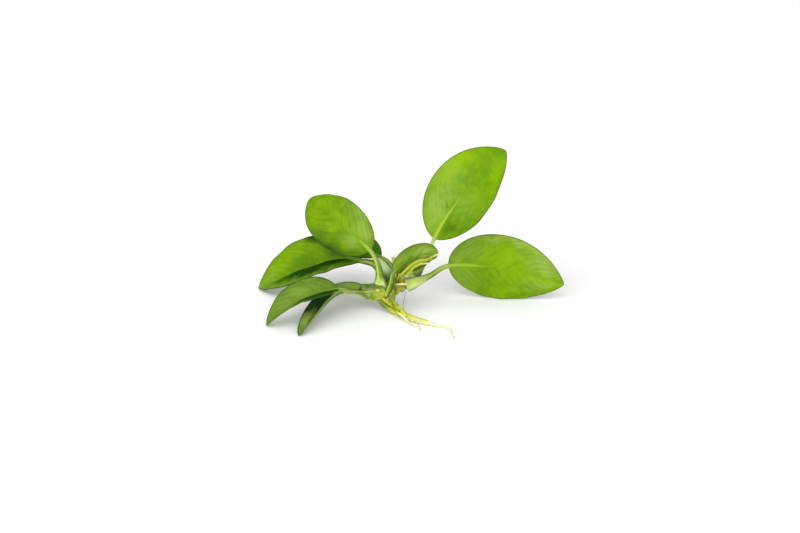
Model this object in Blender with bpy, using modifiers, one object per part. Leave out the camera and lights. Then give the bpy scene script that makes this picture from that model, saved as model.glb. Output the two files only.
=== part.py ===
"""Anubias nana, a small water plant with a thick creeping stem, lifted bare-rooted and lying loose.

The rhizome lies just above the floor. Eight leaves rise from it on short stalks: five arch to the left,
two broad ones reach to the right and a small young one sits in front. The plant rests on three leaf
tips, the lower edge of one broad blade and its longest roots.
"""

import bmesh
import bpy
import numpy as np
from mathutils import Vector

# Lengths are millimetres and angles are degrees; X is right, Y is back, Z is up, and the floor is Z = 0
MM = 0.001
GAP = 0.3
LINE_STEPS = 24

# Leaf blades: thickness, how finely each is divided, the half width left at its base and tip, the half
# width under which its fold opens out, and how far the sheet thins where its points lie close together
BLADE_THICKNESS = 0.7
BLADE_ROWS = 14
BLADE_COLUMNS = 8
END_HALF_WIDTH = 0.2
OPEN_HALF_WIDTH = 2.5
TIP_CLAMP = 1.0

# Leaf stalks: each runs on under its blade as the midrib and fades out there
STALK_STEPS = 9
RIB_STEPS = 4
RIB_SHARE = 0.5
RIB_TIP_RADIUS = 0.3
RIB_DROP = 0.45
RIB_LEAD = 5.0

# Each leaf: the stalk's line from inside the rhizome with its radii, the last one at the blade's base,
# then the midrib's line from there to the tip, the blade's full width and the way its upper side faces.
# fold lifts both halves into a V and tip_fold is the share of it left at the tip; curl bends each half
# further up towards its margin, or down if negative. swell and narrow shape the outline at base and tip
LEAVES = {
    "leaf_1": {
        "stalk": [(-19.0, -4.7, 9.4), (-26.0, -8.4, 10.9), (-31.5, -13.8, 13.2)],
        "radii": [1.5, 1.1, 1.1, 0.9],
        "blade": [(-35.8, -19.5, 16.8), (-53.6, -21.0, 11.8), (-71.1, -26.9, 0.5)],
        "width": 21.8,
        "facing": (-0.44, -0.26, 0.86),
        "fold": 31.5,
        "tip_fold": 1.0,
        "curl": -7.9,
        "twist": -23.0,
        "swell": 0.69,
        "narrow": 0.74,
        "finish": "blade_green",
    },
    "leaf_2": {
        "stalk": [(-17.5, -0.5, 9.0)],
        "radii": [1.4, 0.9],
        "blade": [(-21.9, -1.0, 9.0), (-35.8, -4.5, 9.2), (-54.2, -40.1, 0.6)],
        "width": 15.1,
        "facing": (-0.52, -0.1, 0.85),
        "fold": 31.8,
        "tip_fold": 1.0,
        "curl": -6.5,
        "twist": -8.2,
        "swell": 0.47,
        "narrow": 0.6,
        "finish": "blade_green",
    },
    "leaf_3": {
        "stalk": [(-15.3, -5.3, 11.8), (-15.8, -5.9, 20.1), (-17.3, -5.5, 26.5)],
        "radii": [3.5, 1.9, 1.3, 1.1],
        "blade": [(-20.3, -4.5, 31.5), (-37.6, -1.5, 45.8), (-50.9, 13.5, 52.8)],
        "width": 25.9,
        "facing": (0.12, -0.93, 0.35),
        "fold": 4.8,
        "tip_fold": 0.6,
        "curl": -7.4,
        "twist": 0.0,
        "swell": 0.57,
        "narrow": 0.63,
        "finish": "blade_green",
    },
    "leaf_4": {
        "stalk": [(-12.5, -1.5, 11.5), (-17.5, 3.5, 20.8)],
        "radii": [2.2, 1.9, 1.4],
        "blade": [(-24.8, 7.5, 21.8), (-38.3, 13.0, 20.8), (-78.7, 26.1, 0.4)],
        "width": 30.6,
        "facing": (-0.26, -0.53, 0.81),
        "fold": 35.9,
        "tip_fold": 1.0,
        "curl": -15.1,
        "twist": -9.4,
        "swell": 0.79,
        "narrow": 0.79,
        "finish": "blade_green",
    },
    "leaf_5": {
        "stalk": [(-7.0, 1.5, 13.5), (-10.0, 6.5, 20.0)],
        "radii": [1.6, 1.2, 1.1],
        "blade": [(-15.0, 9.5, 23.0), (-28.9, 24.5, 23.8), (-41.0, 40.4, 22.4)],
        "width": 20.0,
        "facing": (0.1, -0.5, 0.86),
        "fold": 10.0,
        "tip_fold": 0.6,
        "curl": -10.0,
        "twist": 0.0,
        "swell": 0.8,
        "narrow": 0.7,
        "finish": "blade_green",
    },
    "leaf_6": {
        "stalk": [(-1.6, -3.2, 13.2), (2.0, -4.2, 14.7), (9.5, 3.5, 15.3)],
        "radii": [3.2, 2.7, 1.5, 1.2],
        "blade": [(19.1, 11.5, 17.7), (47.8, 10.0, 16.8), (77.7, 8.5, 8.8)],
        "width": 33.6,
        "facing": (0.14, -0.99, 0.05),
        "fold": -0.5,
        "tip_fold": 1.0,
        "curl": -10.6,
        "twist": 0.0,
        "swell": 0.56,
        "narrow": 0.79,
        "finish": "blade_green",
    },
    "leaf_7": {
        "stalk": [(0.3, 3.4, 13.0), (3.4, 5.6, 17.4), (9.0, 6.0, 26.0)],
        "radii": [2.3, 2.7, 1.1, 0.95],
        "blade": [(11.7, 7.5, 33.7), (26.7, 11.0, 57.0), (46.8, 8.5, 79.7)],
        "width": 35.7,
        "facing": (-0.43, -0.82, 0.38),
        "fold": 1.5,
        "tip_fold": 0.6,
        "curl": 21.0,
        "twist": 0.0,
        "swell": 0.63,
        "narrow": 0.74,
        "finish": "blade_green",
    },
    "leaf_8": {
        "stalk": [(-13.0, -5.5, 8.0), (-11.0, -9.5, 12.5), (-9.7, -10.2, 17.0)],
        "radii": [1.3, 1.2, 1.1, 1.0],
        "blade": [(-8.5, -9.5, 22.1), (7.0, -7.5, 31.2), (13.6, -6.5, 30.6)],
        "width": 12.0,
        "facing": (-0.43, -0.87, 0.25),
        "fold": 10.6,
        "tip_fold": 0.6,
        "curl": -10.0,
        "twist": 0.0,
        "swell": 0.6,
        "narrow": 0.6,
        "finish": "young_blade_green",
    },
}

# The pale membrane that stood round the shoot, a cupped blade with its own line
SHEATH_LINE = [(-9.5, -3.0, 16.5), (-13.3, -3.0, 22.2), (-17.2, -2.0, 26.8)]
SHEATH_WIDTH = 7.2
SHEATH_FACING = (0.4, -0.85, 0.35)
SHEATH_CURL = -70.0
SHEATH_THICKNESS = 0.4
SHEATH_ROWS = 8
SHEATH_COLUMNS = 6

# The rhizome: its line, radii at those points, the bulge of each ring and the space between rings
RHIZOME_LINE = [
    (-24.0, -12.0, 10.0),
    (-16.0, -5.5, 10.2),
    (-10.0, -2.5, 11.0),
    (-4.0, -0.5, 12.5),
    (0.5, 0.5, 13.4),
    (1.8, 0.9, 13.6),
]
RHIZOME_RADII = [4.4, 5.2, 4.4, 3.5, 2.6, 1.2]
RHIZOME_STEPS = 24
RING_BULGE = 0.04
RING_SPACE = 3.2
CUT_POINT = (-17.3, -8.0, 10.0)
CUT_FACING = (-0.2, -0.96, -0.2)
CUT_SIZE = 30.0

SHOOT_LINE = [(-8.4, -1.2, 14.6), (-7.8, 1.0, 19.5), (-8.9, 1.8, 25.9)]
SHOOT_RADII = [1.1, 1.3, 0.9]

# Roots: the points of each line with the radius there
ROOTS = {
    "root_1": [
        (-15.5, -4.5, 7.2, 1.1),
        (-15.0, -6.5, 5.4, 1.2),
        (-12.7, -8.5, 3.7, 1.3),
        (-9.6, -10.5, 2.2, 1.3),
        (-6.5, -13.0, 1.6, 1.2),
        (-3.6, -15.5, 1.4, 1.2),
        (1.5, -20.0, 1.2, 1.1),
        (7.5, -24.5, 1.1, 0.9),
        (13.0, -28.0, 0.7, 0.5),
        (16.5, -29.0, 0.6, 0.5),
        (18.5, -31.0, 0.6, 0.5),
        (19.5, -35.5, 0.5, 0.4),
        (20.0, -40.5, 0.4, 0.2),
    ],
    "root_2": [
        (-9.5, -4.5, 12.0, 1.1),
        (-8.7, -8.8, 11.6, 1.1),
        (-8.8, -10.6, 9.0, 1.0),
        (-8.8, -11.5, 7.3, 1.0),
        (-7.3, -12.5, 5.7, 1.0),
        (-5.3, -14.5, 4.5, 0.9),
        (-3.7, -17.5, 3.2, 0.8),
        (-2.2, -19.3, 2.3, 0.4),
    ],
    "root_3": [
        (-9.0, -3.5, 14.0, 0.8),
        (-6.8, -8.9, 18.3, 0.8),
        (-4.0, -14.1, 23.3, 0.7),
        (-1.0, -15.5, 27.0, 0.7),
        (2.5, -16.5, 30.0, 0.7),
        (6.5, -16.5, 31.4, 0.7),
        (9.5, -16.0, 32.2, 0.6),
        (14.8, -15.0, 34.1, 0.3),
    ],
    "root_4": [
        (-6.4, -3.5, 14.2, 0.7),
        (-5.2, -9.5, 18.0, 0.7),
        (-3.2, -13.0, 21.5, 0.6),
        (-1.0, -15.5, 24.0, 0.6),
        (1.5, -17.5, 27.5, 0.5),
        (5.0, -18.0, 29.5, 0.5),
        (8.0, -17.5, 29.5, 0.4),
        (10.5, -16.5, 28.5, 0.3),
    ],
    "root_5": [
        (-8.2, -3.5, 12.5, 0.5),
        (-8.6, -6.8, 14.4, 0.5),
        (-5.0, -8.5, 15.4, 0.5),
        (-1.9, -8.8, 15.4, 0.4),
    ],
    "root_6": [
        (-8.9, -12.4, 4.2, 0.5),
        (-7.5, -15.3, 3.5, 0.6),
        (-4.5, -18.6, 2.5, 0.6),
        (-2.3, -21.5, 1.2, 0.5),
        (-0.6, -24.8, 0.7, 0.4),
        (1.2, -28.5, 0.5, 0.3),
    ],
}
ROOT_STEPS = 18

# Colours as linear red, green and blue, with roughness
FINISHES = {
    "blade_green": ((0.18, 0.38, 0.015), 0.35),
    "young_blade_green": ((0.24, 0.4, 0.06), 0.35),
    "stalk_green": ((0.2, 0.36, 0.03), 0.4),
    "rhizome_green": ((0.2, 0.32, 0.04), 0.5),
    "pale_membrane": ((0.5, 0.62, 0.3), 0.5),
    "shoot_yellow": ((0.55, 0.6, 0.12), 0.4),
    "root_yellow": ((0.66, 0.66, 0.16), 0.5),
}


def clear_scene():
    for obj in list(bpy.data.objects):
        bpy.data.objects.remove(obj)


def new_collection(name):
    collection = bpy.data.collections.new(name)
    bpy.context.scene.collection.children.link(collection)
    return collection


def material(name):
    """The named finish as a Principled material, made once."""
    found = bpy.data.materials.get(name)
    if found:
        return found
    colour, roughness = FINISHES[name]
    made = bpy.data.materials.new(name)
    made.use_nodes = True
    shader = made.node_tree.nodes["Principled BSDF"]
    shader.inputs["Base Color"].default_value = (*colour, 1.0)
    shader.inputs["Roughness"].default_value = roughness
    shader.inputs["Metallic"].default_value = 0.0
    return made


def smooth_line(points):
    """A centripetal Catmull-Rom line through the points, LINE_STEPS steps between each two."""
    p = np.asarray(points, float)
    p = np.vstack([2 * p[0] - p[1], p, 2 * p[-1] - p[-2]])
    pieces = []
    for a, b, c, d in zip(p, p[1:], p[2:], p[3:]):
        chords = [np.linalg.norm(end - start) for start, end in ((a, b), (b, c), (c, d))]
        knots = np.cumsum([0.0, *np.sqrt(chords)])
        t = np.linspace(knots[1], knots[2], LINE_STEPS, endpoint=False)[:, None]
        ab = mixed(a, b, knots[0], knots[1], t)
        bc = mixed(b, c, knots[1], knots[2], t)
        cd = mixed(c, d, knots[2], knots[3], t)
        abc = mixed(ab, bc, knots[0], knots[2], t)
        bcd = mixed(bc, cd, knots[1], knots[3], t)
        pieces.append(mixed(abc, bcd, knots[1], knots[2], t))
    pieces.append(p[-2][None])
    return np.vstack(pieces)


def mixed(start, end, first, last, t):
    return ((last - t) * start + (t - first) * end) / (last - first)


def arc_lengths(line):
    return np.concatenate([[0.0], np.cumsum(np.linalg.norm(np.diff(line, axis=0), axis=1))])


def evenly(line, values, count):
    """The line, and the values along it, at count evenly spaced places."""
    length = arc_lengths(line)
    want = np.linspace(0.0, length[-1], count)
    places = np.stack([np.interp(want, length, line[:, axis]) for axis in range(3)], axis=-1)
    return places, np.interp(want, length, values)


def unit(vectors):
    return vectors / np.linalg.norm(vectors, axis=-1, keepdims=True)


def frames(line, facing):
    """Unit vectors to the side of the line and up from its facing side."""
    along = unit(np.gradient(line, axis=0))
    side = unit(np.cross(along, np.asarray(facing, float)))
    return side, np.cross(side, along)


def half_widths(share, leaf):
    """Half the blade's width at each share of its length: round at the base, drawn to a point at the tip."""
    swell, narrow = leaf["swell"], leaf["narrow"]
    widest = swell / (swell + narrow)
    share = np.clip(share, 1e-6, 1 - 1e-6)
    shape = (share / widest) ** swell * ((1 - share) / (1 - widest)) ** narrow
    return leaf["width"] / 2 * shape + END_HALF_WIDTH


def blade_points(line, leaf, rows, columns):
    """The blade's middle surface as rows from base to tip, each with points from margin to margin."""
    line, _ = evenly(line, np.zeros(len(line)), rows + 1)
    share = np.linspace(0.0, 1.0, rows + 1)[:, None]
    across = np.linspace(-1.0, 1.0, columns + 1)[None]
    side, up = frames(line, leaf["facing"])
    turn = np.radians(leaf["twist"]) * (share - 0.5)
    side, up = side * np.cos(turn) + up * np.sin(turn), up * np.cos(turn) - side * np.sin(turn)
    half = half_widths(share, leaf)
    kept = np.clip(half / OPEN_HALF_WIDTH, 0.0, 1.0)
    fold = np.radians(leaf["fold"]) * (1 - (1 - leaf["tip_fold"]) * share) * kept
    bend = np.radians(leaf["curl"]) * np.abs(across) * kept
    chord = np.sinc(bend / 2 / np.pi) * np.abs(across) * half
    sideways = chord * np.cos(fold + bend / 2) * np.sign(across)
    lifted = chord * np.sin(fold + bend / 2)
    return line[:, None] + side[:, None] * sideways[..., None] + up[:, None] * lifted[..., None]


def sheet(name, points, thickness, finish):
    """A thin solid sheet through the rows of points, made from a grid and thickened both ways."""
    rows, columns = points.shape[0] - 1, points.shape[1] - 1
    body = bmesh.new()
    bmesh.ops.create_grid(body, x_segments=rows, y_segments=columns, size=0.5)
    for vert in body.verts:
        row = round((vert.co.x + 0.5) * rows)
        column = round((vert.co.y + 0.5) * columns)
        vert.co = points[row, column] * MM
    bmesh.ops.recalc_face_normals(body, faces=body.faces)
    obj = finished_object(name, body, finish)
    thick = obj.modifiers.new("thickness", "SOLIDIFY")
    thick.thickness = thickness * MM
    thick.offset = 0.0
    thick.thickness_clamp = TIP_CLAMP
    return obj


def finished_object(name, body, finish):
    """A named object in the parts collection from the bmesh, shaded smooth."""
    mesh = bpy.data.meshes.new(name)
    body.to_mesh(mesh)
    body.free()
    mesh.shade_smooth()
    mesh.materials.append(material(finish))
    obj = bpy.data.objects.new(name, mesh)
    PARTS.objects.link(obj)
    return obj


def rod(name, line, radii, finish, resolution=2):
    """A round rod along the line, closed at both ends, with the radius given at each point."""
    data = bpy.data.curves.new(name + "_line", "CURVE")
    data.dimensions = "3D"
    data.bevel_depth = MM
    data.bevel_resolution = resolution
    data.use_fill_caps = True
    spline = data.splines.new("POLY")
    spline.points.add(len(line) - 1)
    for point, place, radius in zip(spline.points, line, radii):
        point.co = (*(place * MM), 1.0)
        point.radius = radius
    guide = bpy.data.objects.new(name + "_line", data)
    PARTS.objects.link(guide)
    graph = bpy.context.evaluated_depsgraph_get()
    mesh = bpy.data.meshes.new_from_object(guide.evaluated_get(graph))
    bpy.data.objects.remove(guide)
    body = bmesh.new()
    body.from_mesh(mesh)
    bpy.data.meshes.remove(mesh)
    bmesh.ops.remove_doubles(body, verts=body.verts, dist=1e-6)
    bmesh.ops.recalc_face_normals(body, faces=body.faces)
    return finished_object(name, body, finish)


def make_cutter(obj):
    PARTS.objects.unlink(obj)
    CUTTERS.objects.link(obj)
    obj.hide_render = True
    obj.display_type = "WIRE"
    return obj


def cut(obj, cutter):
    boolean = obj.modifiers.new("cut", "BOOLEAN")
    boolean.operation = "DIFFERENCE"
    boolean.solver = "EXACT"
    boolean.object = cutter


def radii_along(spans, radii):
    """Radii at every step of a smooth line of so many spans."""
    steps = np.arange(spans * LINE_STEPS + 1) / LINE_STEPS
    return np.interp(steps, range(len(radii)), radii)


def rhizome_rod(name, extra):
    """The ringed creeping stem, its radius larger by extra."""
    radii = radii_along(len(RHIZOME_LINE) - 1, RHIZOME_RADII)
    line, radii = evenly(smooth_line(RHIZOME_LINE), radii, RHIZOME_STEPS)
    line[0] += unit(line[0] - line[1]) * extra
    line[-1] += unit(line[-1] - line[-2]) * extra
    rings = 1 + RING_BULGE * np.cos(2 * np.pi * arc_lengths(line) / RING_SPACE)
    return rod(name, line, radii * rings + extra, "rhizome_green", resolution=4)


def make_rhizome():
    rhizome = rhizome_rod("rhizome", 0.0)
    outward = Vector(CUT_FACING).normalized()
    body = bmesh.new()
    bmesh.ops.create_cube(body, size=CUT_SIZE * MM)
    block = finished_object("old_end_cutter", body, "rhizome_green")
    block.rotation_mode = "QUATERNION"
    block.rotation_quaternion = outward.to_track_quat("Z", "Y")
    block.location = (Vector(CUT_POINT) + outward * (CUT_SIZE / 2)) * MM
    cut(rhizome, make_cutter(block))


def make_blade(name, leaf):
    line = smooth_line(leaf["stalk"] + leaf["blade"])[len(leaf["stalk"]) * LINE_STEPS :]
    sheet(name, blade_points(line, leaf, BLADE_ROWS, BLADE_COLUMNS), BLADE_THICKNESS, leaf["finish"])


def make_stalk(name, leaf, clearance):
    """The stalk and, a little below the blade, the midrib that it runs on as."""
    whole = smooth_line(leaf["stalk"] + leaf["blade"])
    length = arc_lengths(whole)
    spans = len(leaf["stalk"])
    base = length[spans * LINE_STEPS]
    rib_end = base + RIB_SHARE * (length[-1] - base)
    rib_steps = np.linspace(base, rib_end, RIB_STEPS + 1)[1:]
    want = np.concatenate([np.linspace(0.0, base, STALK_STEPS + 1), rib_steps])
    stalk_radii = radii_along(spans, leaf["radii"])
    radii = np.interp(want, [*length[: spans * LINE_STEPS + 1], rib_end], [*stalk_radii, RIB_TIP_RADIUS])
    _, up = frames(whole, leaf["facing"])
    lead = np.clip((want - base + RIB_LEAD) / RIB_LEAD, 0.0, 1.0)
    drop = lead * lead * (3 - 2 * lead) * (RIB_DROP + GAP + radii)
    line = np.stack([np.interp(want, length, whole[:, axis]) for axis in range(3)], axis=-1)
    lift = np.stack([np.interp(want, length, up[:, axis]) for axis in range(3)], axis=-1)
    cut(rod(name, line - lift * drop[:, None], radii, "stalk_green"), clearance)


def make_sheath(clearance):
    leaf = {
        "width": SHEATH_WIDTH,
        "facing": SHEATH_FACING,
        "fold": 0.0,
        "tip_fold": 1.0,
        "curl": SHEATH_CURL,
        "twist": 0.0,
        "swell": 0.2,
        "narrow": 0.6,
    }
    points = blade_points(smooth_line(SHEATH_LINE), leaf, SHEATH_ROWS, SHEATH_COLUMNS)
    cut(sheet("pale_sheath", points, SHEATH_THICKNESS, "pale_membrane"), clearance)


def make_rods(clearance):
    """The rolled shoot and the roots, each cut clear of the rhizome that it grows from."""
    line, radii = evenly(smooth_line(SHOOT_LINE), radii_along(len(SHOOT_LINE) - 1, SHOOT_RADII), STALK_STEPS)
    cut(rod("new_shoot", line, radii, "shoot_yellow"), clearance)
    for name, points in ROOTS.items():
        radii = radii_along(len(points) - 1, [point[3] for point in points])
        line, radii = evenly(smooth_line([point[:3] for point in points]), radii, ROOT_STEPS)
        cut(rod(name, line, radii, "root_yellow"), clearance)


clear_scene()
PARTS = new_collection("anubias_nana")
CUTTERS = new_collection("cutters")
CUTTERS.hide_render = True
make_rhizome()
CLEARANCE = make_cutter(rhizome_rod("rhizome_clearance", GAP))
for leaf_name, leaf in LEAVES.items():
    make_blade(leaf_name + "_blade", leaf)
    make_stalk(leaf_name + "_stalk", leaf, CLEARANCE)
make_sheath(CLEARANCE)
make_rods(CLEARANCE)
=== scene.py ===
"""Anubias nana: a small water plant with a thick creeping stem, lifted bare-rooted and lying loose.

Shapes are worked out in millimetres and scaled to metres as each mesh is made. X is right, Y is back,
Z is up and the floor is Z = 0. Colours are linear red, green and blue.
"""

import bpy
import numpy as np
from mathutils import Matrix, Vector


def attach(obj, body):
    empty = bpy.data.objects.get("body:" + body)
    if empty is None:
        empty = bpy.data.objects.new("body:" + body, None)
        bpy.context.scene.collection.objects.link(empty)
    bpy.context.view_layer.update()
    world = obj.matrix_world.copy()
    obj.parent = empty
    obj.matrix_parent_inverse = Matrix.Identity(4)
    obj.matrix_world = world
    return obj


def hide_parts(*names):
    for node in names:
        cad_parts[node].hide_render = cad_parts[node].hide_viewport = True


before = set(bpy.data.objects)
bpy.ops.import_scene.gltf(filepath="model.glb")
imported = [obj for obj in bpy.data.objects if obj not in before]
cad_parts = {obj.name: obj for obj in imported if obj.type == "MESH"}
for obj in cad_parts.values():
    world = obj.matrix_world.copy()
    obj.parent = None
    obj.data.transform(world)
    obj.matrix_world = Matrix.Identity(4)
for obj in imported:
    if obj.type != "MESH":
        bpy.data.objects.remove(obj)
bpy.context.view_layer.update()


# The rhizome: the plant's creeping stem, firm, fleshy and as thick as a pencil. Each leaf it shed left a
# ring, and its older end broke off long ago and healed over as a pale mottled face.
MM = 0.001
LINE_STEPS = 24
NOISE_WAVES = 10
NOISE_RANGE = (0.6, 1.5)
NOISE_LEVEL = 0.6
FLOOR_GAP = 0.05
COAT_ROUGHNESS = 0.12
RHIZOME_LINE = [
    (-24.0, -12.0, 10.0),
    (-16.0, -5.5, 10.2),
    (-10.0, -2.5, 11.0),
    (-4.0, -0.5, 12.5),
    (0.5, 0.5, 13.4),
    (1.8, 0.9, 13.6),
]
RHIZOME_RADII = [4.4, 5.2, 4.4, 3.5, 2.6, 1.2]
RHIZOME_ROWS = 160
RHIZOME_SIDES = 96
RING_SPACE = 3.2
RING_DEPTH = 0.45
RING_SHARPNESS = 6
RING_DARKNESS = 0.55
LUMP_SIZE = 4.0
LUMP_DEPTH = 0.25
CUT_POINT = (-17.3, -8.0, 10.0)
CUT_FACING = (-0.2, -0.96, -0.2)
CUT_ROUNDING = 1.6
CUT_LUMP_SIZE = 2.5
CUT_LUMP_DEPTH = 0.25
YOUNG_REACH = (16.0, 21.0)
RHIZOME_GREEN = (0.05, 0.11, 0.01)
RHIZOME_OLIVE = (0.14, 0.2, 0.02)
RING_BROWN = (0.04, 0.06, 0.01)
YOUNG_OLIVE = (0.52, 0.54, 0.03)
CUT_GREEN = (0.13, 0.26, 0.007)
CUT_PALE = (0.44, 0.5, 0.14)
CUT_GOLD = (0.36, 0.4, 0.01)
CUT_RIM = (0.03, 0.08, 0.006)


def smooth_line(points):
    """Centripetal Catmull-Rom: between each two points, a blend of straight lines whose knots lie apart
    by the square root of each chord, in LINE_STEPS steps."""
    p = np.asarray(points, float)
    p = np.vstack([2 * p[0] - p[1], p, 2 * p[-1] - p[-2]])
    pieces = []
    for a, b, c, d in zip(p, p[1:], p[2:], p[3:]):
        chords = [np.linalg.norm(end - start) for start, end in ((a, b), (b, c), (c, d))]
        knots = np.cumsum([0.0, *np.sqrt(chords)])
        t = np.linspace(knots[1], knots[2], LINE_STEPS, endpoint=False)[:, None]
        ab = mixed(a, b, knots[0], knots[1], t)
        bc = mixed(b, c, knots[1], knots[2], t)
        cd = mixed(c, d, knots[2], knots[3], t)
        abc = mixed(ab, bc, knots[0], knots[2], t)
        bcd = mixed(bc, cd, knots[1], knots[3], t)
        pieces.append(mixed(abc, bcd, knots[1], knots[2], t))
    pieces.append(p[-2][None])
    return np.vstack(pieces)


def mixed(start, end, first, last, t):
    """The straight blend that is start where t is first and end where it is last."""
    return ((last - t) * start + (t - first) * end) / (last - first)


def arc_lengths(line):
    """How far along the line each of its points lies."""
    return np.concatenate([[0.0], np.cumsum(np.linalg.norm(np.diff(line, axis=0), axis=1))])


def at_lengths(line, values, want):
    """The values at each wanted length along the line, read straight between its points."""
    length = arc_lengths(line)
    values = np.asarray(values, float).reshape(len(line), -1)
    return np.stack([np.interp(want, length, column) for column in values.T], axis=-1)


def span_values(values):
    """Values given at a line's points, read straight between them at each of its steps."""
    places = np.arange((len(values) - 1) * LINE_STEPS + 1) / LINE_STEPS
    return np.interp(places, range(len(values)), values)


def unit(vectors):
    return vectors / np.linalg.norm(vectors, axis=-1, keepdims=True)


def frames(line, facing):
    """Unit vectors across the line and up from it: side = along x facing, up = side x along."""
    along = unit(np.gradient(line, axis=0))
    side = unit(np.cross(along, np.asarray(facing, float)))
    return side, np.cross(side, along)


def smooth_step(value, low, high):
    """0 below low, 1 above high, and 3t^2 - 2t^3 between them."""
    t = np.clip((value - low) / (high - low), 0.0, 1.0)
    return t * t * (3 - 2 * t)


def wander(places, size, seed):
    """Smooth noise of about -1 to 1: the sum of cosine waves about size long in random directions."""
    draw = np.random.default_rng(seed)
    places = np.asarray(places, float)
    directions = unit(draw.normal(size=(NOISE_WAVES, places.shape[-1]))) * 2 * np.pi / size
    directions *= draw.uniform(*NOISE_RANGE, (NOISE_WAVES, 1))
    turns = places @ directions.T + draw.uniform(0, 2 * np.pi, NOISE_WAVES)
    return np.cos(turns).sum(axis=-1) * np.sqrt(2 / NOISE_WAVES) * NOISE_LEVEL


def rod_grid(line, radii, sides, facing, flat=1.0):
    """Rows of points round a line: its point + radius x (side x cos + up x flat x sin) at each angle."""
    side, up = frames(line, facing)
    angle = np.linspace(0, 2 * np.pi, sides, endpoint=False)[None, :, None]
    radii = np.broadcast_to(np.asarray(radii, float).reshape(len(line), -1), (len(line), sides))[..., None]
    flat = np.broadcast_to(np.asarray(flat, float), (len(line),))[:, None, None]
    return line[:, None] + radii * (side[:, None] * np.cos(angle) + up[:, None] * flat * np.sin(angle))


def closed_faces(rows, columns, start):
    """Quads between the rows of a grid whose columns close up, and a fan to one point at either end."""
    index = np.arange(rows * columns).reshape(rows, columns) + start
    beside = np.roll(index, -1, axis=1)
    quads = np.stack([index[:-1], index[1:], beside[1:], beside[:-1]], axis=-1).reshape(-1, 4)
    first = np.full(columns, start + rows * columns)
    fans = [np.stack([first, index[0], beside[0]], axis=-1)]
    fans.append(np.stack([first + 1, beside[-1], index[-1]], axis=-1))
    return quads.tolist() + np.concatenate(fans).tolist()


def make_piece(name, grids, finish, nodes=()):
    """One mesh from closed grids of points in millimetres, each with its named values at every point."""
    points, faces, values = [], [], {}
    count = 0
    for grid, named in grids:
        rows, columns = grid.shape[:2]
        ends = np.stack([grid[0].mean(axis=0), grid[-1].mean(axis=0)])
        points += [grid.reshape(-1, 3), ends]
        faces += closed_faces(rows, columns, count)
        for key, value in named.items():
            value = np.broadcast_to(value, (rows, columns))
            flat = [value.ravel(), [value[0].mean(), value[-1].mean()]]
            values.setdefault(key, []).extend(flat)
        count += rows * columns + 2
    points = np.concatenate(points)
    points[:, 2] = np.maximum(points[:, 2], FLOOR_GAP)
    mesh = bpy.data.meshes.new(name)
    mesh.from_pydata((points * MM).tolist(), [], faces)
    for key, value in values.items():
        layer = mesh.attributes.new(key, "FLOAT", "POINT")
        layer.data.foreach_set("value", np.concatenate(value).astype(np.float32))
    mesh.shade_smooth()
    mesh.materials.append(finish)
    piece = bpy.data.objects.new(name, mesh)
    bpy.context.scene.collection.objects.link(piece)
    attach(piece, "root")
    if nodes:
        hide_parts(*nodes)
    return piece


def add(tree, kind, inputs=None, **settings):
    """A node of this kind with its settings; each input takes a number, a colour or another output."""
    made = tree.nodes.new(kind)
    for name, value in settings.items():
        setattr(made, name, value)
    for name, value in (inputs or {}).items():
        if isinstance(value, bpy.types.NodeSocket):
            tree.links.new(value, made.inputs[name])
        else:
            made.inputs[name].default_value = value
    return made


def calc(tree, operation, first, second=0.0):
    return add(tree, "ShaderNodeMath", {0: first, 1: second}, operation=operation).outputs[0]


def times(tree, first, second):
    return calc(tree, "MULTIPLY", first, second)


def ramp(tree, value, low, high, start=0.0, end=1.0):
    """Smoothly from start, where the value is low, to end, where it is high, and level beyond."""
    inputs = {0: value, 1: low, 2: high, 3: start, 4: end}
    return add(tree, "ShaderNodeMapRange", inputs, interpolation_type="SMOOTHSTEP").outputs[0]


def tint(tree, amount, first, second):
    """The first colour, turned into the second by the amount."""
    made = add(tree, "ShaderNodeMix", {0: amount}, data_type="RGBA")
    for socket, colour in ((6, first), (7, second)):
        if isinstance(colour, bpy.types.NodeSocket):
            tree.links.new(colour, made.inputs[socket])
        else:
            made.inputs[socket].default_value = (*colour, 1.0)
    return made.outputs[2]


def held(tree, name):
    """A value that the mesh holds at its points."""
    return add(tree, "ShaderNodeAttribute", attribute_name=name).outputs["Fac"]


def cloud(tree, size, detail=2.0):
    """Noise on Object coordinates with patches about size millimetres across."""
    place = add(tree, "ShaderNodeTexCoord").outputs["Object"]
    inputs = {"Vector": place, "Scale": 1.0 / (size * MM), "Detail": detail}
    return add(tree, "ShaderNodeTexNoise", inputs).outputs[0]


def blotches(tree, colour, other, size, low, high, most=1.0, detail=3.0):
    """The colour, turned into the other by most at most, in patches about size millimetres across: none
    where the noise is under low, all where it is over high."""
    return tint(tree, ramp(tree, cloud(tree, size, detail), low, high, 0.0, most), colour, other)


def uneven_roughness(tree, size, smooth, rough, detail=2.0):
    """Roughness that goes between the two values in patches about size millimetres across."""
    return ramp(tree, cloud(tree, size, detail), 0.3, 0.7, smooth, rough)


def grain(tree, height, depth):
    """The surface's normal, raised by the height times depth millimetres."""
    return add(tree, "ShaderNodeBump", {"Height": height, "Distance": depth * MM}).outputs[0]


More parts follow.
